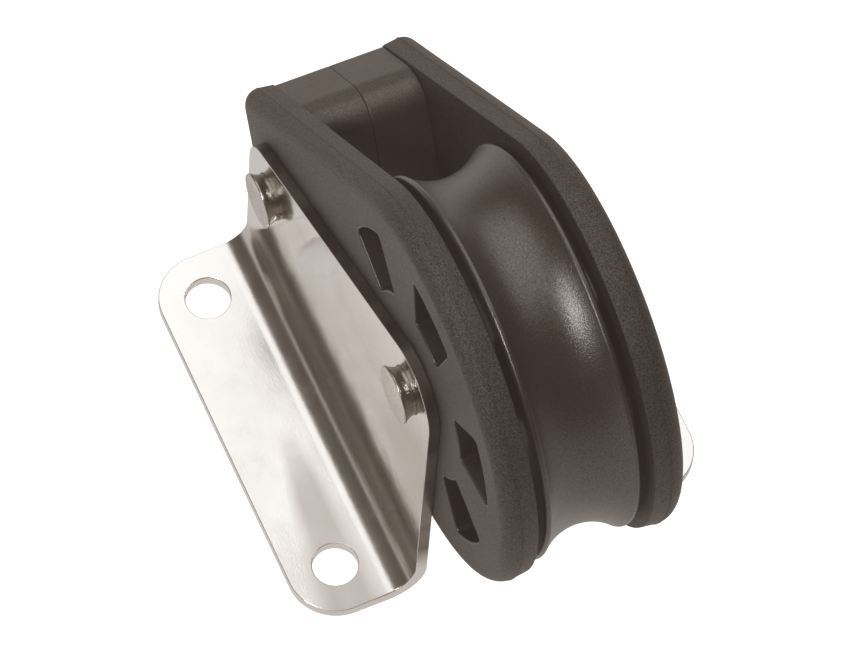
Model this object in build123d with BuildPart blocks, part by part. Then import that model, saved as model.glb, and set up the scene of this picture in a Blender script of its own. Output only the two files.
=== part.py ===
from build123d import *
from math import atan2, cos, degrees, hypot, radians, sin
import os

os.makedirs("parts", exist_ok=True)

# Single sheave upright lead block, in mm. The deck is z = 0, X runs from the tail to the sheave end,
# Y runs along the pins with +Y the left side, and the origin is the middle of the four deck holes.

# Pin centres in the XZ plane.
axle_x = 24.7
axle_z = 52.2
tail_x = -24.7
tail_z = 28.3

# Bent plate brackets.
plate_t = 1.9
bracket_half_length = 32.9
bracket_inner_y = 14.4
flange_edge_y = 33.8
bend_inside_r = 3.9
bend_outside_r = 5.8
leg_corner_r = 8.1
leg_base_height = 8.0
section_height = 70.0
section_half_length = 40.0
hole_x = 25.0
hole_y = 26.1
hole_r = 3.55
flange_corner_r = 7.7

# Moulded cheeks. Tail sizes are measured from the tail pin.
cheek_inner_y = 9.2
cheek_parting_y = 11.8
cheek_r = 31.3
cheek_draft = 0.4
cheek_edge_r = 2.5
tail_end = 13.7
tail_half_width = 11.1
tail_corner_r = 4.0
window_inner_r = 14.8
window_outer_r = 24.4
window_span = 29.5
window_pitch = 60.0
window_corner_r = 0.9
window_lip_r = 0.3

# Tail spacer halves between the cheeks, measured from the tail pin.
spacer_back = 12.9
spacer_back_half = 10.6
spacer_ridge = 0.6
spacer_ridge_half = 14.7
spacer_front = 6.5
spacer_front_half = 14.4
spacer_back_r = 2.5
spacer_front_r = 4.0
spacer_seam_r = 0.2

# Sheave.
sheave_half_width = 7.6
sheave_r = 29.8
groove_root_r = 27.1
groove_arc_r = 9.8
lip_r = 0.4
hub_r = 11.5
hub_half_width = 8.2
side_recess_r = 24.2
side_web_half = 5.2
side_recess_corner_r = 1.0

# Bearing, sleeves, washers and rivets.
running_gap = 0.05
bush_outer_r = 7.0
sleeve_outer_r = 5.0
sleeve_inner_r = 3.85
washer_outer_r = 10.5
shank_r = 3.8
rivet_hole_r = 3.85
rivet_neck_r = 3.9
rivet_head_r = 4.5
rivet_neck_height = 0.6
rivet_rim_height = 1.4
rivet_head_height = 2.2
rivet_edge_r = 0.3

pin_distance = hypot(axle_x - tail_x, axle_z - tail_z)
tilt = degrees(atan2(axle_z - tail_z, axle_x - tail_x))
along_pins = (cos(radians(tilt)), 0, sin(radians(tilt)))
bracket_outer_y = bracket_inner_y + plate_t
running_r = sleeve_outer_r + running_gap
pin_centres = ((axle_x, axle_z), (tail_x, tail_z))
axle_line = Axis((axle_x, 0, axle_z), (0, 1, 0))


def tilted_plane(x, y, z):
    """A plane across the pins at a pin centre, its own x axis running from the tail pin to the axle."""
    return Plane(origin=(x, y, z), x_dir=along_pins, z_dir=(0, -1, 0))


def radial_plane(x, z):
    """A plane holding a pin centre line, for profiles turned about that line."""
    return Plane(origin=(x, 0, z), x_dir=(0, 1, 0), z_dir=(1, 0, 0))


# Brackets: an angle section trimmed to the outline of the leg.
with BuildPart() as bracket_left:
    with BuildSketch(Plane.YZ):
        with BuildLine():
            Polyline(
                (bracket_inner_y, section_height),
                (bracket_inner_y, 0),
                (flange_edge_y, 0),
                (flange_edge_y, plate_t),
                (bracket_outer_y, plate_t),
                (bracket_outer_y, section_height),
                close=True,
            )
        make_face()
        fillet(vertices().sort_by_distance((bracket_inner_y, 0))[0], bend_outside_r)
        fillet(vertices().sort_by_distance((bracket_outer_y, plate_t))[0], bend_inside_r)
    extrude(amount=section_half_length, both=True)
    with BuildSketch(Plane.XZ):
        with Locations((0, leg_base_height / 2)):
            Rectangle(2 * bracket_half_length, leg_base_height)
        with Locations(*pin_centres):
            Circle(leg_corner_r)
        make_hull()
    extrude(amount=-flange_edge_y, mode=Mode.INTERSECT)
    fillet(edges().filter_by(Axis.Z).group_by(Axis.Y)[-1], flange_corner_r)
    with BuildSketch(Plane.XY):
        with Locations((hole_x, hole_y), (-hole_x, hole_y)):
            Circle(hole_r)
    extrude(amount=plate_t, mode=Mode.SUBTRACT)
    with BuildSketch(Plane.XZ):
        with Locations(*pin_centres):
            Circle(rivet_hole_r)
    extrude(amount=-bracket_outer_y, mode=Mode.SUBTRACT)

bracket_left.part.label = "bracket_left"
export_step(bracket_left.part, "parts/bracket_left.step")

with BuildPart() as bracket_right:
    mirror(bracket_left.part, about=Plane.XZ)

bracket_right.part.label = "bracket_right"
export_step(bracket_right.part, "parts/bracket_right.step")


# Cheeks: a disc round the axle drawn out to the tail, with five windows beside the axle.
with BuildPart() as cheek_left:
    with BuildSketch(tilted_plane(axle_x, bracket_inner_y, axle_z)):
        Circle(cheek_r)
        with Locations((-pin_distance, 0)):
            Rectangle(2 * tail_end, 2 * tail_half_width)
        make_hull()
        fillet(vertices().group_by(Axis.X)[0], tail_corner_r)
    extrude(amount=bracket_inner_y - cheek_inner_y)
    fillet(faces().sort_by(Axis.Y)[-1].edges(), cheek_edge_r)
    inner_face = faces().sort_by(Axis.Y)[0]
    chamfer(
        inner_face.edges(),
        length=cheek_draft,
        length2=cheek_parting_y - cheek_inner_y,
        reference=inner_face,
    )
    for step in (-2, -1, 0, 1, 2):
        start = step * window_pitch - window_span / 2
        with BuildSketch(tilted_plane(axle_x, bracket_inner_y, axle_z)):
            with BuildLine():
                inner = CenterArc((0, 0), window_inner_r, start, window_span)
                outer = CenterArc((0, 0), window_outer_r, start, window_span)
                Line(inner @ 0, outer @ 0)
                Line(inner @ 1, outer @ 1)
            make_face()
            fillet(vertices(), window_corner_r)
        extrude(amount=bracket_inner_y - cheek_inner_y, mode=Mode.SUBTRACT)
    fillet(faces().sort_by(Axis.Y)[-1].inner_wires().edges(), window_lip_r)
    with BuildSketch(Plane.XZ):
        with Locations(*pin_centres):
            Circle(running_r)
    extrude(amount=-bracket_inner_y, mode=Mode.SUBTRACT)

cheek_left.part.label = "cheek_left"
export_step(cheek_left.part, "parts/cheek_left.step")

with BuildPart() as cheek_right:
    mirror(cheek_left.part, about=Plane.XZ)

cheek_right.part.label = "cheek_right"
export_step(cheek_right.part, "parts/cheek_right.step")


# Tail spacer halves, meeting on the middle plane.
with BuildPart() as tail_spacer_left:
    with BuildSketch(tilted_plane(tail_x, 0, tail_z)):
        with BuildLine():
            Polyline(
                (-spacer_back, -spacer_back_half),
                (spacer_ridge, -spacer_ridge_half),
                (spacer_front, -spacer_front_half),
                (spacer_front, spacer_front_half),
                (spacer_ridge, spacer_ridge_half),
                (-spacer_back, spacer_back_half),
                close=True,
            )
        make_face()
        fillet(vertices().group_by(Axis.X)[0], spacer_back_r)
        fillet(vertices().group_by(Axis.X)[-1], spacer_front_r)
        Circle(running_r, mode=Mode.SUBTRACT)
    extrude(amount=-cheek_inner_y)
    chamfer(faces().sort_by(Axis.Y)[0].outer_wire().edges(), spacer_seam_r)

tail_spacer_left.part.label = "tail_spacer_left"
export_step(tail_spacer_left.part, "parts/tail_spacer_left.step")

with BuildPart() as tail_spacer_right:
    mirror(tail_spacer_left.part, about=Plane.XZ)

tail_spacer_right.part.label = "tail_spacer_right"
export_step(tail_spacer_right.part, "parts/tail_spacer_right.step")


# Sheave: rim and hub joined by a thinner web, with a round rope groove.
with BuildPart() as sheave:
    with BuildSketch(radial_plane(axle_x, axle_z)):
        with BuildLine():
            Polyline(
                (-hub_half_width, bush_outer_r),
                (-hub_half_width, hub_r),
                (-side_web_half, hub_r),
                (-side_web_half, side_recess_r),
                (-sheave_half_width, side_recess_r),
                (-sheave_half_width, sheave_r),
                (sheave_half_width, sheave_r),
                (sheave_half_width, side_recess_r),
                (side_web_half, side_recess_r),
                (side_web_half, hub_r),
                (hub_half_width, hub_r),
                (hub_half_width, bush_outer_r),
                close=True,
            )
        make_face()
        with Locations((0, groove_root_r + groove_arc_r)):
            Circle(groove_arc_r, mode=Mode.SUBTRACT)
        fillet(vertices().group_by(Axis.Y)[-1], lip_r)
        for side in (-side_web_half, side_web_half):
            fillet(vertices().sort_by_distance((side, hub_r))[0], side_recess_corner_r)
            fillet(vertices().sort_by_distance((side, side_recess_r))[0], side_recess_corner_r)
    revolve(axis=axle_line)

sheave.part.label = "sheave"
export_step(sheave.part, "parts/sheave.step")

with BuildPart() as sheave_bush:
    with BuildSketch(Plane.XZ.offset(-hub_half_width)):
        with Locations((axle_x, axle_z)):
            Circle(bush_outer_r)
            Circle(running_r, mode=Mode.SUBTRACT)
    extrude(amount=2 * hub_half_width)

sheave_bush.part.label = "sheave_bush"
export_step(sheave_bush.part, "parts/sheave_bush.step")


# Thrust washers between the hub and each cheek.
with BuildPart() as thrust_washer_left:
    with BuildSketch(Plane.XZ.offset(-hub_half_width - running_gap)):
        with Locations((axle_x, axle_z)):
            Circle(washer_outer_r)
            Circle(running_r, mode=Mode.SUBTRACT)
    extrude(amount=-(cheek_inner_y - hub_half_width - 2 * running_gap))

thrust_washer_left.part.label = "thrust_washer_left"
export_step(thrust_washer_left.part, "parts/thrust_washer_left.step")

with BuildPart() as thrust_washer_right:
    mirror(thrust_washer_left.part, about=Plane.XZ)

thrust_washer_right.part.label = "thrust_washer_right"
export_step(thrust_washer_right.part, "parts/thrust_washer_right.step")


# Steel sleeves standing between the two brackets, one round each rivet.
with BuildPart() as axle_sleeve:
    with BuildSketch(Plane.XZ.offset(-bracket_inner_y)):
        with Locations((axle_x, axle_z)):
            Circle(sleeve_outer_r)
            Circle(sleeve_inner_r, mode=Mode.SUBTRACT)
    extrude(amount=2 * bracket_inner_y)

axle_sleeve.part.label = "axle_sleeve"
export_step(axle_sleeve.part, "parts/axle_sleeve.step")

with BuildPart() as tail_sleeve:
    with BuildSketch(Plane.XZ.offset(-bracket_inner_y)):
        with Locations((tail_x, tail_z)):
            Circle(sleeve_outer_r)
            Circle(sleeve_inner_r, mode=Mode.SUBTRACT)
    extrude(amount=2 * bracket_inner_y)

tail_sleeve.part.label = "tail_sleeve"
export_step(tail_sleeve.part, "parts/tail_sleeve.step")


# Rivets: a plain shank with a flared head formed on each end.
with BuildPart() as axle_rivet:
    with BuildSketch(radial_plane(axle_x, axle_z)):
        with BuildLine():
            Polyline(
                (0, 0),
                (bracket_outer_y + rivet_head_height, 0),
                (bracket_outer_y + rivet_head_height, rivet_head_r),
                (bracket_outer_y + rivet_rim_height, rivet_head_r),
                (bracket_outer_y + rivet_neck_height, rivet_neck_r),
                (bracket_outer_y, rivet_neck_r),
                (bracket_outer_y, shank_r),
                (0, shank_r),
                close=True,
            )
        make_face()
        fillet(vertices().group_by(Axis.Y)[-1], rivet_edge_r)
        mirror(about=Plane.YZ)
    revolve(axis=axle_line)

axle_rivet.part.label = "axle_rivet"
export_step(axle_rivet.part, "parts/axle_rivet.step")

with BuildPart() as tail_rivet:
    with Locations((tail_x - axle_x, 0, tail_z - axle_z)):
        add(axle_rivet.part)

tail_rivet.part.label = "tail_rivet"
export_step(tail_rivet.part, "parts/tail_rivet.step")
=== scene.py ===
from math import atan2, ceil, cos, hypot, pi, radians, sin, sqrt, tan
import bpy
import numpy as np
from mathutils import Matrix, Vector
from mathutils.geometry import delaunay_2d_cdt


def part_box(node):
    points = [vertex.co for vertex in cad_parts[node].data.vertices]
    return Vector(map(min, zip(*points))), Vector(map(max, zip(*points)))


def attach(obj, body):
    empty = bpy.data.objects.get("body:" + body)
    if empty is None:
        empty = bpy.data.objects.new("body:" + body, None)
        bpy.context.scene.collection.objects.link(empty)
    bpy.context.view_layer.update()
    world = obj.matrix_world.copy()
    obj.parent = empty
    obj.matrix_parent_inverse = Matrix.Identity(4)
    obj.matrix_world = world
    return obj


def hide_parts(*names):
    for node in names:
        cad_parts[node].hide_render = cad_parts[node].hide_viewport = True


MM = 0.001
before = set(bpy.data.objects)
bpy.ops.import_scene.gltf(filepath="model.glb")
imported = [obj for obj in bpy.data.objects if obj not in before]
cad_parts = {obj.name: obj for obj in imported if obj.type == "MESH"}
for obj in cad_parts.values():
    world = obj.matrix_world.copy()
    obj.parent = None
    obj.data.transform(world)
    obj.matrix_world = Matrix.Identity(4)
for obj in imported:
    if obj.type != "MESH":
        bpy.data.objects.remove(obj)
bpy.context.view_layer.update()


# ---------------------------------------------------------------- sizes in mm, mostly from the CAD nodes
def box_mm(node):
    low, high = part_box(node)
    return np.array(low) / MM, np.array(high) / MM


def centre_xz(node):
    low, high = box_mm(node)
    return (low[0] + high[0]) / 2, (low[2] + high[2]) / 2


AXLE_X, AXLE_Z = centre_xz("axle_sleeve")
TAIL_X, TAIL_Z = centre_xz("tail_sleeve")
PINS = hypot(AXLE_X - TAIL_X, AXLE_Z - TAIL_Z)
TILT = atan2(AXLE_Z - TAIL_Z, AXLE_X - TAIL_X)
PLATE = 1.9
LEG_IN = box_mm("cheek_left")[1][1]
LEG_OUT = LEG_IN + PLATE
FLANGE_EDGE = box_mm("bracket_left")[1][1]
HALF_LENGTH = box_mm("bracket_left")[1][0]
CHEEK_IN = box_mm("cheek_left")[0][1]
HEAD_OUT = box_mm("axle_rivet")[1][1]
DECK_HOLE_X, DECK_HOLE_Y, DECK_HOLE_R = 25.0, 26.1, 3.55
RIVET_HOLE_R = 3.85
SLEEVE_HOLE_R = 5.05


# ---------------------------------------------------------------- outlines: rows of x, y, normal x, normal y
def hull_ring(circles, step, line_step):
    """The outline round circles (x, y, r), given counterclockwise, pulled tight like a belt."""
    n = len(circles)
    normals = []
    for i in range(n):
        x1, y1, r1 = circles[i]
        x2, y2, r2 = circles[(i + 1) % n]
        length = hypot(x2 - x1, y2 - y1)
        dx, dy = (x2 - x1) / length, (y2 - y1) / length
        lean = (r1 - r2) / length
        across = sqrt(1 - lean * lean)
        normals.append((lean * dx + across * dy, lean * dy - across * dx))
    ring = []
    for i in range(n):
        x, y, r = circles[i]
        first = atan2(normals[i - 1][1], normals[i - 1][0])
        last = atan2(normals[i][1], normals[i][0])
        while last < first - 1e-9:
            last += 2 * pi
        count = max(2, ceil(r * (last - first) / step))
        for a in np.linspace(first, last, count + 1):
            ring.append((x + r * cos(a), y + r * sin(a), cos(a), sin(a)))
        nx, ny = normals[i]
        x2, y2, r2 = circles[(i + 1) % n]
        start, end = (x + r * nx, y + r * ny), (x2 + r2 * nx, y2 + r2 * ny)
        count = int(hypot(end[0] - start[0], end[1] - start[1]) / line_step)
        for k in range(1, count):
            f = k / count
            ring.append((start[0] + (end[0] - start[0]) * f, start[1] + (end[1] - start[1]) * f, nx, ny))
    return ring


def rounded(points, radii, arc):
    """A closed counterclockwise polygon with each corner rounded by its own radius, convex or not."""
    ring = []
    n = len(points)
    for i in range(n):
        p = np.array(points[i], float)
        d1 = p - np.array(points[i - 1], float)
        d2 = np.array(points[(i + 1) % n], float) - p
        d1 /= np.linalg.norm(d1)
        d2 /= np.linalg.norm(d2)
        turn = atan2(d1[0] * d2[1] - d1[1] * d2[0], float(d1 @ d2))
        n1 = np.array((d1[1], -d1[0]))
        if radii[i] <= 0 or abs(turn) < 1e-4:
            normal = n1 + np.array((d2[1], -d2[0]))
            normal /= np.linalg.norm(normal)
            ring.append((p[0], p[1], normal[0], normal[1]))
            continue
        start = p - d1 * radii[i] * tan(abs(turn) / 2)
        side = 1 if turn > 0 else -1
        centre = start - n1 * radii[i] * side
        for a in np.linspace(0, turn, arc + 1):
            m = np.array((n1[0] * cos(a) - n1[1] * sin(a), n1[0] * sin(a) + n1[1] * cos(a)))
            q = centre + m * radii[i] * side
            ring.append((q[0], q[1], m[0], m[1]))
    return ring


def circle_ring(x, y, r, count=96):
    return [(x + r * cos(a), y + r * sin(a), cos(a), sin(a))
            for a in np.linspace(0, 2 * pi, count, endpoint=False)]


def sector_ring(r0, r1, middle, span, corner):
    """A slot between two radii about the axle, with rounded corners."""
    half = span / 2
    ring = []

    def arc(cx, cy, r, first, last, count, flip=1):
        for a in np.linspace(first, last, count + 1):
            ring.append((cx + r * cos(a), cy + r * sin(a), flip * cos(a), flip * sin(a)))

    ro, ri = r1 - corner, r0 + corner
    ao, ai = half - np.arcsin(corner / ro), half - np.arcsin(corner / ri)
    arc(0, 0, r1, -ao, ao, 16)
    arc(ro * cos(ao), ro * sin(ao), corner, ao, half + pi / 2, 8)
    arc(ri * cos(ai), ri * sin(ai), corner, half + pi / 2, ai + pi, 8)
    arc(0, 0, r0, ai, -ai, 12, -1)
    arc(ri * cos(ai), -ri * sin(ai), corner, -ai - pi, -half - pi / 2, 8)
    arc(ro * cos(ao), -ro * sin(ao), corner, -half - pi / 2, -ao, 8)
    c, s = cos(middle), sin(middle)
    return [(x * c - y * s, x * s + y * c, nx * c - ny * s, nx * s + ny * c) for x, y, nx, ny in ring]


def clean(ring, tolerance=1e-5):
    """Drops points that repeat their neighbour."""
    kept = []
    for p in ring:
        if not kept or hypot(p[0] - kept[-1][0], p[1] - kept[-1][1]) > tolerance:
            kept.append(p)
    if hypot(kept[0][0] - kept[-1][0], kept[0][1] - kept[-1][1]) <= tolerance:
        kept.pop()
    return kept


def within(points, spots):
    """Which spots lie inside a closed outline, by counting crossings."""
    hit = np.zeros(len(spots), bool)
    x, y = spots[:, 0], spots[:, 1]
    for (x1, y1), (x2, y2) in zip(points, points[1:] + points[:1]):
        if y1 == y2:
            continue
        cross = (y1 > y) != (y2 > y)
        hit ^= cross & (x < (x2 - x1) * (y - y1) / (y2 - y1) + x1)
    return hit


# ---------------------------------------------------------------- rims
# Each is rows of inset, height, outward normal and upward normal.
def top_round(radius, top, count, inset=0.0):
    """The rounded edge below a top face."""
    return [(inset + radius * (1 - sin(a)), top - radius * (1 - cos(a)), sin(a), cos(a))
            for a in np.linspace(0, pi / 2, count)]


def bottom_round(radius, bottom, count, inset=0.0):
    """The rounded edge above a bottom face."""
    return [(inset + radius * (1 - cos(a)), bottom + radius * (1 - sin(a)), cos(a), -sin(a))
            for a in np.linspace(0, pi / 2, count)]


# ---------------------------------------------------------------- meshes with exact smooth normals
def make_piece(name, verts, normals, faces, mats, material_of, body="frame", node=None, slot=None):
    mesh = bpy.data.meshes.new(name)
    mesh.from_pydata([tuple(np.array(v) * MM) for v in verts], [], faces)
    for m in mats:
        mesh.materials.append(m)
    mesh.polygons.foreach_set("material_index", material_of)
    mesh.polygons.foreach_set("use_smooth", [True] * len(mesh.polygons))
    mesh.update()
    mesh.normals_split_custom_set_from_vertices([tuple(n) for n in normals])
    obj = bpy.data.objects.new(name, mesh)
    bpy.context.scene.collection.objects.link(obj)
    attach(obj, body)
    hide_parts(node)
    return obj


def fold_edges(flat, rows):
    """Edges right across an outline, one for each row of y and the x of both ends. A row counts only where
    both ends are points of the outline."""
    edges = []
    for y, *ends in rows:
        pair = []
        for x in ends:
            distances = [hypot(px - x, py - y) for px, py in flat]
            near = distances.index(min(distances))
            if abs(flat[near][0] - x) < 1 and abs(flat[near][1] - y) < 0.01:
                pair.append(near)
        if len(pair) == 2:
            edges.append(tuple(pair))
    return edges


def slab(name, outer, holes, rim, hole_rim, place, mats, rows=(), edge_bands=None, mirrored=False, **kw):
    """A plate between two faces, with its rims given from the top face to the bottom one. place maps x, y, a
    height and a normal to 3-D. mats holds the faces' material, the outer edge's and last the holes'."""
    verts, normals, faces, which = [], [], [], []

    def add(x, y, height, normal):
        p, q = place(x, y, height, normal)
        verts.append(p)
        normals.append(q)
        return len(verts) - 1

    def wall(ring, profile, sign, material):
        """One ring's side faces. Returns the flat points and the vertices of each of its rows."""
        flats, loops = [], []
        for inset, height, n_out, n_up in profile:
            flat = [(x - sign * nx * inset, y - sign * ny * inset) for x, y, nx, ny in ring]
            flats.append(flat)
            loops.append([add(x, y, height, (sign * nx * n_out, sign * ny * n_out, n_up))
                          for (x, y), (_, _, nx, ny) in zip(flat, ring)])
        for band, (a, b) in enumerate(zip(loops, loops[1:])):
            for k in range(len(a)):
                j = (k + 1) % len(a)
                quad = (a[k], b[k], b[j], a[j])
                faces.append(quad[::sign])
                which.append(material if edge_bands is None or band in edge_bands else 0)
        return flats, loops

    def cap(end, walls):
        """The face at one end of the walls, with the holes left open."""
        flat, ids, edges = [], [], []
        for flats, loops in walls:
            base, count = len(flat), len(flats[end])
            flat += flats[end]
            ids += loops[end]
            edges += [(base + k, base + (k + 1) % count) for k in range(count)]
        edges += fold_edges(flat, rows)
        found = delaunay_2d_cdt([Vector(p) for p in flat], edges, [], 0, 1e-7, True)
        spots = np.array([(p.x, p.y) for p in found[0]])
        tris = np.array(list(found[2]))
        middle = spots[tris].mean(axis=1)
        inside = np.zeros(len(tris), bool)
        for flats, loops in walls:
            inside ^= within(flats[end], middle)
        height, n_up = rim[end][1], rim[end][3]
        new_ids = [ids[origin[0]] if origin else add(p.x, p.y, height, (0, 0, n_up))
                   for p, origin in zip(found[0], found[3])]
        for tri in tris[inside]:
            corners = [new_ids[i] for i in tri]
            if len(set(corners)) == 3:
                faces.append(tuple(corners if end == 0 else corners[::-1]))
                which.append(0)

    walls = [wall(clean(outer), rim, 1, 1)]
    walls += [wall(clean(hole), hole_rim, -1, len(mats) - 1) for hole in holes]
    for end in (0, -1):
        cap(end, walls)
    if mirrored:
        faces = [tuple(reversed(f)) for f in faces]
    return make_piece(name, verts, normals, faces, mats, which, **kw)


def turned(name, profile, x, z, mats, which=lambda p, q: 0, segments=256, wobble=lambda y, r, a: 0, **kw):
    """A closed profile of y, radius, normal y, normal radius turned about a line along Y. which picks the
    material of a face from the profile points at its ends, and wobble moves points in or out."""
    verts, normals, faces, mat = [], [], [], []
    n = len(profile)
    for s in range(segments):
        a = 2 * pi * s / segments
        for y, r, ny, nr in profile:
            reach = r + wobble(y, r, a)
            verts.append((x + reach * cos(a), y, z + reach * sin(a)))
            normals.append((nr * cos(a), ny, nr * sin(a)))
    for s in range(segments):
        t = (s + 1) % segments
        for k in range(n):
            j = (k + 1) % n
            faces.append((s * n + k, t * n + k, t * n + j, s * n + j))
            mat.append(which(profile[k], profile[j]))
    return make_piece(name, verts, normals, faces, mats, mat, **kw)


# ---------------------------------------------------------------- materials
# A colour Mix node's sockets: its two colour inputs and its colour output.
MIX_A, MIX_B, MIX_OUT = 6, 7, 2


class Nodes:
    """A short way to write a node material."""

    def __init__(self, name):
        self.mat = bpy.data.materials.new(name)
        self.mat.use_nodes = True
        self.tree = self.mat.node_tree
        self.tree.nodes.clear()
        self.out = self.add("ShaderNodeOutputMaterial")
        self.shader = self.add("ShaderNodeBsdfPrincipled")
        self.link(self.shader, "BSDF", self.out, "Surface")
        self.coord = self.add("ShaderNodeTexCoord")

    def add(self, kind, **values):
        node = self.tree.nodes.new(kind)
        for key, value in values.items():
            if key in node.inputs:
                node.inputs[key].default_value = value
            else:
                setattr(node, key, value)
        return node

    def link(self, a, out, b, socket):
        self.tree.links.new(a.outputs[out], b.inputs[socket])

    def set(self, **values):
        """Sets the shader's inputs, with _ for a space in their names."""
        for key, value in values.items():
            self.shader.inputs[key.replace("_", " ")].default_value = value

    def noise(self, scale, detail, rough):
        node = self.add("ShaderNodeTexNoise", Scale=scale, Detail=detail, Roughness=rough)
        self.link(self.coord, "Object", node, "Vector")
        return node

    def ramp(self, source, out, low, high, a=0.0, b=1.0):
        """source's value from low to high becomes a to b."""
        node = self.add("ShaderNodeMapRange")
        node.inputs["From Min"].default_value = low
        node.inputs["From Max"].default_value = high
        node.inputs["To Min"].default_value = a
        node.inputs["To Max"].default_value = b
        self.link(source, out, node, "Value")
        return node

    def math(self, operation, a, b=None):
        """One sum on the first outputs of a and b, where b may be a number."""
        node = self.add("ShaderNodeMath", operation=operation)
        self.link(a, 0, node, 0)
        if hasattr(b, "outputs"):
            self.link(b, 0, node, 1)
        elif b is not None:
            node.inputs[1].default_value = b
        return node

    def multiply_add(self, a, out_a, factor, b, out_b):
        """a times a number, plus b."""
        node = self.add("ShaderNodeMath", operation="MULTIPLY_ADD")
        self.link(a, out_a, node, 0)
        node.inputs[1].default_value = factor
        self.link(b, out_b, node, 2)
        return node

    def mix(self, factor, out, a, b):
        """Colour a where the factor is 0, and b where it is 1. a may be another Mix node."""
        node = self.add("ShaderNodeMix", data_type="RGBA")
        self.link(factor, out, node, "Factor")
        if hasattr(a, "outputs"):
            self.link(a, MIX_OUT, node, MIX_A)
        else:
            node.inputs[MIX_A].default_value = (*a, 1)
        node.inputs[MIX_B].default_value = (*b, 1)
        return node

    def bump(self, height, distance, before=None):
        node = self.add("ShaderNodeBump", Strength=1.0, Distance=distance)
        self.link(height, "Fac", node, "Height")
        if before:
            self.link(before, "Normal", node, "Normal")
        return node


# The heights in metres between which the flange's finish turns into the leg's.
BEND_TOP, LEG_SMOOTH = 0.007, 0.014


def scuff_mask(m, split, depth):
    """Extra roughness in a wedge along the near flange, from its middle to its front end. split gives x and y
    in metres. The wedge's middle line leans, and its half-width grows with x."""
    lean, line_y = 0.06, 0.0243
    narrow, wide, wedge_length, fade_length = 0.0012, 0.0050, 0.030, 0.012
    full, gone = 0.5, 1.3
    off = m.math("ABSOLUTE", m.math("ADD", m.multiply_add(split, "X", lean, split, "Y"), line_y))
    share = m.math("DIVIDE", off, m.ramp(split, "X", 0.0, wedge_length, narrow, wide))
    across = m.ramp(share, 0, full, gone, depth, 0.0)
    return m.math("MULTIPLY", across, m.ramp(split, "X", 0.0, fade_length))


def metal(name, light, dark, rough, rough_spread, grain, mottle=1.0, low=None, low_painted_light=None, scuff=None):
    """Stainless steel. On the flange and the bend, low is another roughness, with more grain, and
    low_painted_light
    a lighter colour: painted light for the light the cut edge catches there. scuff is how much rougher a worn
    wedge of the near flange is."""
    m = Nodes(name)
    cloud = m.noise(90, 4, 0.55)
    color = m.mix(m.ramp(cloud, "Fac", 0.3, 0.7), "Result", dark, light)
    m.set(Metallic=1.0)
    patches = m.noise(230, 3, 0.6)
    level = m.ramp(patches, "Fac", 0.3, 0.7, rough - rough_spread, rough + rough_spread)
    soft = m.bump(m.noise(110, 2, 0.4), 0.00008 * mottle)
    sharp = m.bump(m.noise(2600, 2, 0.6), 0.000006 * grain, before=soft)
    if low:
        split = m.add("ShaderNodeSeparateXYZ")
        m.link(m.coord, "Object", split, "Vector")
        near_deck = m.ramp(split, "Z", BEND_TOP, LEG_SMOOTH, 1.0, 0.0)
        level = m.multiply_add(near_deck, "Result", low - rough, level, "Result")
        m.link(m.ramp(near_deck, "Result", 0.0, 1.0, 0.25, 1.0), "Result", sharp, "Strength")
        if scuff:
            level = m.math("ADD", level, scuff_mask(m, split, scuff))
        # Painted light: on the flange and the bend the colour turns to a lighter tone, which stands in for
        # the light the cut edge catches near the deck.
        if low_painted_light:
            color = m.mix(near_deck, "Result", color, low_painted_light)
    m.link(level, 0, m.shader, "Roughness")
    m.link(color, MIX_OUT, m.shader, "Base Color")
    m.link(sharp, "Normal", m.shader, "Normal")
    return m.mat


def plastic(name, light, dark, rough, grain_scale, grain_depth, speckle=0.35, specular=0.5):
    """A moulded plastic with a spark-eroded grain, which shows in its colour and its shine by speckle."""
    m = Nodes(name)
    fine = m.noise(grain_scale, 3, 0.65)
    cloud = m.noise(60, 3, 0.5)
    broad = m.ramp(cloud, "Fac", 0.3, 0.7, 0.0, 1.0 - speckle)
    tone = m.multiply_add(m.ramp(fine, "Fac", 0.38, 0.62), "Result", speckle, broad, "Result")
    shine = m.ramp(fine, "Fac", 0.36, 0.64, specular * (1 - speckle), specular * (1 + speckle))
    m.link(m.mix(tone, "Value", dark, light), MIX_OUT, m.shader, "Base Color")
    m.link(m.ramp(cloud, "Fac", 0.3, 0.7, rough - 0.04, rough + 0.04), "Result", m.shader, "Roughness")
    m.link(shine, "Result", m.shader, "Specular IOR Level")
    m.link(m.bump(fine, grain_depth), "Normal", m.shader, "Normal")
    return m.mat


plate = metal("stainless_plate", (0.57, 0.557, 0.541), (0.53, 0.518, 0.502), 0.12, 0.03, grain=2.5,
              low=0.25, scuff=0.3)
# The cut edge's lighter tone on the flange and the bend is painted light.
cut_edge = metal("stainless_cut_edge", (0.20, 0.185, 0.17), (0.07, 0.064, 0.058), 0.36, 0.08, grain=8.0,
                 low=0.30, low_painted_light=(0.70, 0.68, 0.655))
rivet_face = metal("stainless_rivet_face", (0.50, 0.48, 0.45), (0.32, 0.30, 0.28), 0.26, 0.05, grain=4.0)
turned_steel = metal("stainless_turned", (0.38, 0.36, 0.335), (0.18, 0.17, 0.155), 0.32, 0.08, grain=12.0,
                     mottle=2.5)
cheek_mat = plastic("cheek_plastic", (0.021, 0.0175, 0.0145), (0.003, 0.0025, 0.002), 0.50, 4600, 0.00016,
                    speckle=0.65, specular=0.62)
recess_mat = plastic("recess_plastic", (0.016, 0.0135, 0.012), (0.006, 0.005, 0.0045), 0.36, 4200, 0.00002,
                     speckle=0.3, specular=0.6)
spacer_mat = plastic("spacer_plastic", (0.034, 0.028, 0.024), (0.018, 0.015, 0.013), 0.46, 4200, 0.00004,
                     speckle=0.4, specular=0.6)
sheave_mat = plastic("sheave_plastic", (0.022, 0.0175, 0.0155), (0.015, 0.012, 0.011), 0.32, 4200, 0.00004,
                     speckle=0.4, specular=0.72)
bearing_mat = plastic("bearing_plastic", (0.62, 0.60, 0.54), (0.50, 0.48, 0.43), 0.4, 2500, 0.00001)


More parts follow.
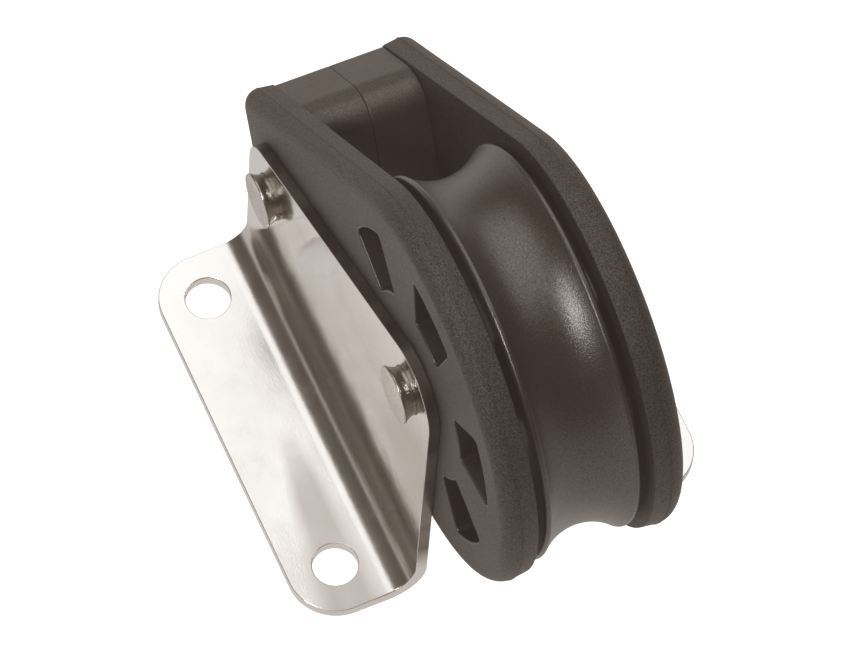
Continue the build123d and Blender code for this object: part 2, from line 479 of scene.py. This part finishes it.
# ---------------------------------------------------------------- brackets
BEND_IN, BEND_OUT = 4.6, 6.3
LEG_END_R, FLANGE_CORNER_R = 8.1, 7.7
# The flange rises a little towards the bend proper, at this angle over most of this width.
RISE_WIDTH, RISE_ANGLE = 8.0, radians(3.0)
# Over the first part of that width the angle grows evenly from nothing.
RISE_START = 1 / 3
LIFT = RISE_ANGLE * RISE_WIDTH * (1 - RISE_START / 2)
ARC_IN = BEND_IN / (1 - sin(RISE_ANGLE))
# Rows on the flat blank, measured up from the flange's edge.
ARC_START = FLANGE_EDGE - (LEG_OUT + BEND_IN)
ARC_LENGTH = (BEND_IN + BEND_OUT) / 2 * pi / 2
LEG_START = ARC_START + ARC_LENGTH
# How far the outer face takes to fall back in with the inner one, on each side of the bend.
SETTLE = 2.5
# The height at which the leg's inner face starts to be straight.
LEG_FOOT = PLATE + LIFT + ARC_IN * cos(RISE_ANGLE)
EDGE_ROUND = 0.18
PLATE_RIM = top_round(EDGE_ROUND, PLATE, 5) + bottom_round(EDGE_ROUND, 0, 5)
# The rim's middle bands show the cut edge, and the others look like the faces.
CUT_BANDS = range(2, 7)
RISE_ROWS, BEND_ROWS = 12, 30


def bent(side):
    """Maps the flat blank, x along the block and s up from the flange's edge, onto the bent plate. The
    outside of the bend is wider than the inside, and its face catches up over SETTLE on each side."""
    inner_y, inner_z = LEG_OUT + ARC_IN, LEG_FOOT
    outer_y, outer_z = LEG_IN + BEND_OUT, BEND_OUT

    def place(x, s, h, normal):
        nx, ns, nh = normal
        f = h / PLATE
        if s <= ARC_START:
            u = max(0.0, (s - ARC_START) / RISE_WIDTH + 1)
            a = RISE_ANGLE * min(1.0, u / RISE_START)
            run = u * u / (2 * RISE_START) if u < RISE_START else u - RISE_START / 2
            gap = outer_y - FLANGE_EDGE + ARC_START
            back = max(0.0, s - (ARC_START - SETTLE)) / SETTLE * gap * (1 - f)
            y, z = FLANGE_EDGE - s + back, h + RISE_ANGLE * RISE_WIDTH * run * f
        elif s >= LEG_START:
            a = pi / 2
            back = max(0.0, LEG_START + SETTLE - s) / SETTLE * (outer_z - inner_z) * (1 - f)
            y, z = LEG_IN + h, inner_z + s - LEG_START + back
        else:
            t = (s - ARC_START) / ARC_LENGTH
            a = RISE_ANGLE + (pi / 2 - RISE_ANGLE) * t
            b = pi / 2 * t
            y = (outer_y - BEND_OUT * sin(b)) * (1 - f) + (inner_y - ARC_IN * sin(a)) * f
            z = (outer_z - BEND_OUT * cos(b)) * (1 - f) + (inner_z - ARC_IN * cos(a)) * f
        along_y, along_z = -cos(a), sin(a)
        up_y, up_z = sin(a), cos(a)
        return (x, side * y, z), (nx, side * (ns * along_y + nh * up_y), ns * along_z + nh * up_z)
    return place


def leg_row(z):
    """How far up the flat blank a height on the leg lies."""
    return LEG_START + z - LEG_FOOT


def blank_outline():
    """The flat blank: a flange with round corners, a straight bend zone, and the leg's two round ends."""
    corner_x = HALF_LENGTH - FLANGE_CORNER_R
    return hull_ring([
        (-corner_x, FLANGE_CORNER_R, FLANGE_CORNER_R),
        (corner_x, FLANGE_CORNER_R, FLANGE_CORNER_R),
        (AXLE_X, leg_row(AXLE_Z), LEG_END_R),
        (TAIL_X, leg_row(TAIL_Z), LEG_END_R),
    ], step=0.35, line_step=1.5)


def with_levels(ring, levels):
    """The outline with points added where it crosses the levels, so that the faces can fold there."""
    outline = []
    for p, q in zip(ring, ring[1:] + ring[:1]):
        outline.append(p)
        between = [v for v in levels if min(p[1], q[1]) + 1e-6 < v < max(p[1], q[1]) - 1e-6]
        if p[1] > q[1]:
            between = between[::-1]
        for v in between:
            f = (v - p[1]) / (q[1] - p[1])
            n = np.array((p[2] + (q[2] - p[2]) * f, p[3] + (q[3] - p[3]) * f))
            n /= np.linalg.norm(n)
            outline.append((p[0] + (q[0] - p[0]) * f, v, n[0], n[1]))
    return outline


def bracket(side, name):
    levels = [ARC_START - RISE_WIDTH * (1 - k / RISE_ROWS) for k in range(RISE_ROWS)]
    levels += [ARC_START + ARC_LENGTH * k / BEND_ROWS for k in range(BEND_ROWS + 1)]
    levels += [LEG_START + SETTLE]
    deck_row = FLANGE_EDGE - DECK_HOLE_Y
    holes = [circle_ring(x, deck_row, DECK_HOLE_R) for x in (DECK_HOLE_X, -DECK_HOLE_X)]
    holes += [circle_ring(x, leg_row(z), RIVET_HOLE_R) for x, z in ((AXLE_X, AXLE_Z), (TAIL_X, TAIL_Z))]
    return slab(name + "_plate", with_levels(clean(blank_outline()), levels), holes, PLATE_RIM, PLATE_RIM,
                bent(side), [plate, cut_edge], rows=[(v, -HALF_LENGTH, HALF_LENGTH) for v in levels],
                edge_bands=CUT_BANDS, mirrored=side > 0, node=name, slot="stainless_plate")


bracket(-1, "bracket_right")
bracket(1, "bracket_left")


# ---------------------------------------------------------------- cheeks
# The parting line stands PROUD of the rim, and the rim's inner edge lies DRAFT inside its outermost line.
CHEEK_R = 31.29
SHOULDER = 2.5
PROUD, PARTING_Y, PARTING_FOOT, PARTING_TIP = 0.08, 11.79, 0.07, 0.03
DRAFT, INNER_ROUND = 0.38, 0.2
CHEEK_RIM = top_round(SHOULDER, LEG_IN, 13, PROUD)
CHEEK_RIM += [(PROUD, PARTING_Y + PARTING_FOOT, 1, 0), (0.0, PARTING_Y + PARTING_TIP, 0.8, 0.6),
              (0.0, PARTING_Y - PARTING_TIP, 0.8, -0.6), (PROUD, PARTING_Y - PARTING_FOOT, 1, 0)]
CHEEK_RIM += [(DRAFT, CHEEK_IN + INNER_ROUND, 0.99, -0.14)]
CHEEK_RIM += bottom_round(INNER_ROUND, CHEEK_IN, 5, DRAFT)[1:]
SLOT_LIP, SLOT_INNER_LIP = 0.3, 0.15
SLOT_RIM = top_round(SLOT_LIP, LEG_IN, 6) + bottom_round(SLOT_INNER_LIP, CHEEK_IN, 5)
# The cheek's own frame has u from the tail pin to the axle and v across it. Sizes beyond the tail pin:
TAIL_REACH, TAIL_HALF_WIDTH, TAIL_CORNER_R = 13.7, 11.1, 4.0
SLOT_INNER_R, SLOT_OUTER_R, SLOT_SPAN, SLOT_CORNER_R = 14.8, 24.4, radians(29.5), 0.9
SLOT_STEP = radians(60)


def tilted(side, x0, z0):
    """Maps u and v along and across the block's slope, and w out from its middle plane, to 3-D."""
    c, s = cos(TILT), sin(TILT)

    def place(u, v, w, normal):
        nu, nv, nw = normal
        return ((x0 + u * c - v * s, side * w, z0 + u * s + v * c),
                (nu * c - nv * s, side * nw, nu * s + nv * c))
    return place


def cheek_outline():
    corner = np.array((-PINS - TAIL_REACH, TAIL_HALF_WIDTH))
    distance = float(np.linalg.norm(corner))
    # The direction of the straight side, from the tail's corner to where it touches the disc.
    towards = -corner / distance
    a = np.arcsin(CHEEK_R / distance)
    side = np.array((towards[0] * cos(a) - towards[1] * sin(a), towards[0] * sin(a) + towards[1] * cos(a)))
    n = np.array((-side[1], side[0]))
    # The small corner circle touches the end line and the straight side.
    cu = corner[0] + TAIL_CORNER_R
    cv = (float(n @ corner) - TAIL_CORNER_R - n[0] * cu) / n[1]
    circles = [(0, 0, CHEEK_R), (cu, cv, TAIL_CORNER_R), (cu, -cv, TAIL_CORNER_R)]
    return hull_ring(circles, step=0.5, line_step=2.0)


def cheek(side, name):
    holes = [sector_ring(SLOT_INNER_R, SLOT_OUTER_R, SLOT_STEP * k, SLOT_SPAN, SLOT_CORNER_R)
             for k in (-2, -1, 0, 1, 2)]
    holes += [circle_ring(u, 0, SLEEVE_HOLE_R) for u in (0, -PINS)]
    return slab(name + "_shell", cheek_outline(), holes, CHEEK_RIM, SLOT_RIM, tilted(side, AXLE_X, AXLE_Z),
                [cheek_mat, cheek_mat, recess_mat], mirrored=side > 0, node=name, slot="cheek_plastic")


cheek(-1, "cheek_right")
cheek(1, "cheek_left")


# ---------------------------------------------------------------- tail spacers
def spacer(side, name):
    """Half of the block between the cheeks. It tapers to the tail and ends flat towards the sheave."""
    tail_u, tail_v, bulge_u, bulge_v, nose_u, nose_v = -12.9, 10.6, 0.6, 14.7, 6.5, 14.4
    corners = [(tail_u, -tail_v), (bulge_u, -bulge_v), (nose_u, -nose_v),
               (nose_u, nose_v), (bulge_u, bulge_v), (tail_u, tail_v)]
    tail_r, bulge_r, nose_r = 2.5, 5.0, 4.0
    outline = rounded(corners, [tail_r, bulge_r, nose_r, nose_r, bulge_r, tail_r], 16)
    seam, gap = 0.2, 0.02
    rim = top_round(seam, CHEEK_IN - gap, 4) + bottom_round(seam, 0, 4)
    return slab(name + "_shell", outline, [circle_ring(0, 0, SLEEVE_HOLE_R)], rim, rim,
                tilted(side, TAIL_X, TAIL_Z), [spacer_mat, spacer_mat], mirrored=side > 0, node=name,
                slot="cheek_plastic")


spacer(-1, "tail_spacer_right")
spacer(1, "tail_spacer_left")


# ---------------------------------------------------------------- sheave
SHEAVE_R, ROOT_R, GROOVE_R = 29.8, 27.1, 9.8
# Half-widths of its rim, its thinner web and its hub, and the radii where they meet.
RIM_HALF, WEB_HALF, HUB_HALF = 7.6, 5.2, 8.2
BORE_R, HUB_R, WEB_R = 7.0, 11.5, 24.2


def sheave_profile():
    centre = ROOT_R + GROOVE_R
    reach = sqrt(GROOVE_R ** 2 - (centre - SHEAVE_R) ** 2)
    top = np.arcsin(reach / GROOVE_R)
    groove = [(-GROOVE_R * sin(a), centre - GROOVE_R * cos(a)) for a in np.linspace(-top, top, 49)]
    right = [(HUB_HALF, BORE_R), (HUB_HALF, HUB_R), (WEB_HALF, HUB_R), (WEB_HALF, WEB_R), (RIM_HALF, WEB_R),
             (RIM_HALF, SHEAVE_R)]
    bore, hub, inner, lip = 0.3, 0.4, 1.0, 0.57
    right_radii = [bore, hub, inner, inner, hub, lip]
    left = [(-y, r) for y, r in right[::-1]]
    points = right + groove + left
    radii = right_radii + [lip] + [0] * (len(groove) - 2) + [lip] + right_radii[::-1]
    return clean(rounded(points, radii, 6))


turned("sheave_wheel", sheave_profile(), AXLE_X, AXLE_Z, [sheave_mat], segments=360, body="sheave",
       node="sheave", slot="sheave_plastic")


# ---------------------------------------------------------------- rivets
RIVET_R, SWELL_R, HEAD_R = 3.8, 4.05, 4.5
# How far outside the leg the head starts to swell, is partly swelled, and has its full radius.
NECK, SWELL, FLARE = 0.5, 1.2, 1.85
# The shallow dish in the head's face: a radius, and how deep it is there and at the middle.
DISH_R, DISH_EDGE, DISH_DEPTH = 2.6, 0.10, 0.14


def rivet_profile():
    """From one head's middle to the other's. The closing line is a hair off the centre line."""
    half = [(LEG_OUT - 0.1, RIVET_R), (LEG_OUT, RIVET_R + 0.02), (LEG_OUT + NECK, RIVET_R),
            (LEG_OUT + SWELL, SWELL_R), (LEG_OUT + FLARE, HEAD_R), (HEAD_OUT, HEAD_R),
            (HEAD_OUT - DISH_EDGE, DISH_R), (HEAD_OUT - DISH_DEPTH + 0.001, 0.05),
            (HEAD_OUT - DISH_DEPTH, 0.001)]
    radii = [0, 0.05, 0.6, 1.2, 0.12, 0.18, 0.4, 0, 0]
    points = half + [(-y, r) for y, r in half[::-1]]
    return clean(rounded(points[::-1], radii + radii[::-1], 6))


def dents(seed):
    """Small uneven waves round a hammered head, none on its shank or near its middle."""
    phase = np.random.default_rng(seed).uniform(0, 2 * pi, 6)

    def wobble(y, r, a):
        if abs(y) < LEG_OUT or r < 3:
            return 0.0
        return 0.03 * sin(3 * a + phase[0]) + 0.02 * sin(7 * a + phase[1]) + 0.012 * sin(13 * a + phase[2])
    return wobble


def on_face(p, q):
    """1 for the profile's stretches on a head's face, 0 elsewhere."""
    return int(abs(p[0] + q[0]) > 2 * HEAD_OUT - 0.32)


for index, (name, x, z) in enumerate((("axle_rivet", AXLE_X, AXLE_Z), ("tail_rivet", TAIL_X, TAIL_Z))):
    turned(name + "_turned", rivet_profile(), x, z, [turned_steel, rivet_face], on_face, segments=128,
           wobble=dents(index), node=name, slot="turned_stainless")


# ---------------------------------------------------------------- CAD pieces that keep their own shape
HIDDEN = {
    "axle_sleeve": turned_steel,
    "tail_sleeve": turned_steel,
    "sheave_bush": bearing_mat,
    "thrust_washer_left": bearing_mat,
    "thrust_washer_right": bearing_mat,
}
for name, material in HIDDEN.items():
    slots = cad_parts[name].data.materials
    slots.clear()
    slots.append(material)


# ---------------------------------------------------------------- camera
def photo_camera():
    """Looks at a point above the origin, rolled a little. Its azimuth is measured from the -Y side."""
    azimuth, elevation, roll, distance = radians(61.466), radians(61.935), radians(5.273), 0.879197
    aim, aside, below = Vector((0, 0, 0.025)), 0.000990, 0.003462
    back = Vector((cos(elevation) * sin(azimuth), -cos(elevation) * cos(azimuth), sin(elevation)))
    level_right = (-back).cross(Vector((0, 0, 1))).normalized()
    level_up = level_right.cross(-back)
    right = cos(roll) * level_right + sin(roll) * level_up
    up = -sin(roll) * level_right + cos(roll) * level_up
    eye = aim + back * distance - right * aside - up * below
    data = bpy.data.cameras.new("photo_camera")
    data.lens, data.sensor_width = 244.61, 36.0
    data.clip_start, data.clip_end = 0.05, 20
    cam = bpy.data.objects.new("photo_camera", data)
    bpy.context.scene.collection.objects.link(cam)
    cam.matrix_world = pose(right, up, back, eye)
    bpy.context.scene.camera = cam


def pose(right, up, back, spot):
    """The matrix of an object at spot that looks along -back."""
    return Matrix([(right[i], up[i], back[i], spot[i]) for i in range(3)] + [(0, 0, 0, 1)])


photo_camera()


# ---------------------------------------------------------------- light and floor
def soft_light(name, azimuth, elevation, distance, width, height, radiance):
    """A lamp facing the block, its width lying as near along the block's X as it can."""
    a, e = radians(azimuth), radians(elevation)
    back = Vector((cos(e) * cos(a), cos(e) * sin(a), sin(e)))
    across = (Vector((1, 0, 0)) - back * back.x).normalized()
    up = back.cross(across)
    data = bpy.data.lights.new(name, "AREA")
    data.shape = "RECTANGLE"
    data.size, data.size_y = width, height
    data.energy = radiance * 4 * width * height
    lamp = bpy.data.objects.new(name, data)
    bpy.context.scene.collection.objects.link(lamp)
    aim = Vector((0, 0, 0.03))
    lamp.matrix_world = pose(across, up, back, aim + back * distance)


def studio_world():
    world = bpy.data.worlds.new("studio")
    bpy.context.scene.world = world
    world.use_nodes = True
    background = world.node_tree.nodes["Background"]
    background.inputs["Color"].default_value = (0.105, 0.098, 0.092, 1)
    background.inputs["Strength"].default_value = 1.0


def pale_floor():
    """A wide floor just under the block: white in the picture, but gentle as a light on the block."""
    half, drop = 3, 0.0002
    glow_on_block, glow_in_picture = 0.53, 1.1
    m = Nodes("pale_floor")
    m.set(Base_Color=(0.2, 0.2, 0.2, 1), Roughness=0.8, Emission_Color=(1, 1, 1, 1))
    glow = m.ramp(m.add("ShaderNodeLightPath"), "Is Camera Ray", 0, 1, glow_on_block, glow_in_picture)
    m.link(glow, "Result", m.shader, "Emission Strength")
    mesh = bpy.data.meshes.new("floor")
    corners = [(-half, -half, -drop), (half, -half, -drop), (half, half, -drop), (-half, half, -drop)]
    mesh.from_pydata(corners, [], [(0, 1, 2, 3)])
    mesh.materials.append(m.mat)
    floor = bpy.data.objects.new("floor", mesh)
    bpy.context.scene.collection.objects.link(floor)


def warm_print():
    """The tones of a warm print: its darkest tone is a warm grey, and its middle tones lean to red."""
    view = bpy.context.scene.view_settings
    view.view_transform = "Standard"
    view.use_curve_mapping = True
    tone = view.curve_mapping
    tone.black_level = (-0.026, -0.0185, -0.0175)
    dark, middle = 0.12, 0.45
    # What red, green and blue make of these two tones.
    for curve, low, high in zip(tone.curves, (0.125, 0.115, 0.103), (0.475, 0.448, 0.430)):
        curve.points.new(dark, low)
        curve.points.new(middle, high)
    tone.update()


soft_light("broad_softbox", azimuth=158, elevation=60.5, distance=1.0, width=1.25, height=1.28, radiance=1.38)
soft_light("key_lamp", azimuth=290, elevation=51.5, distance=1.2, width=0.20, height=0.25, radiance=42)
studio_world()
pale_floor()
warm_print()
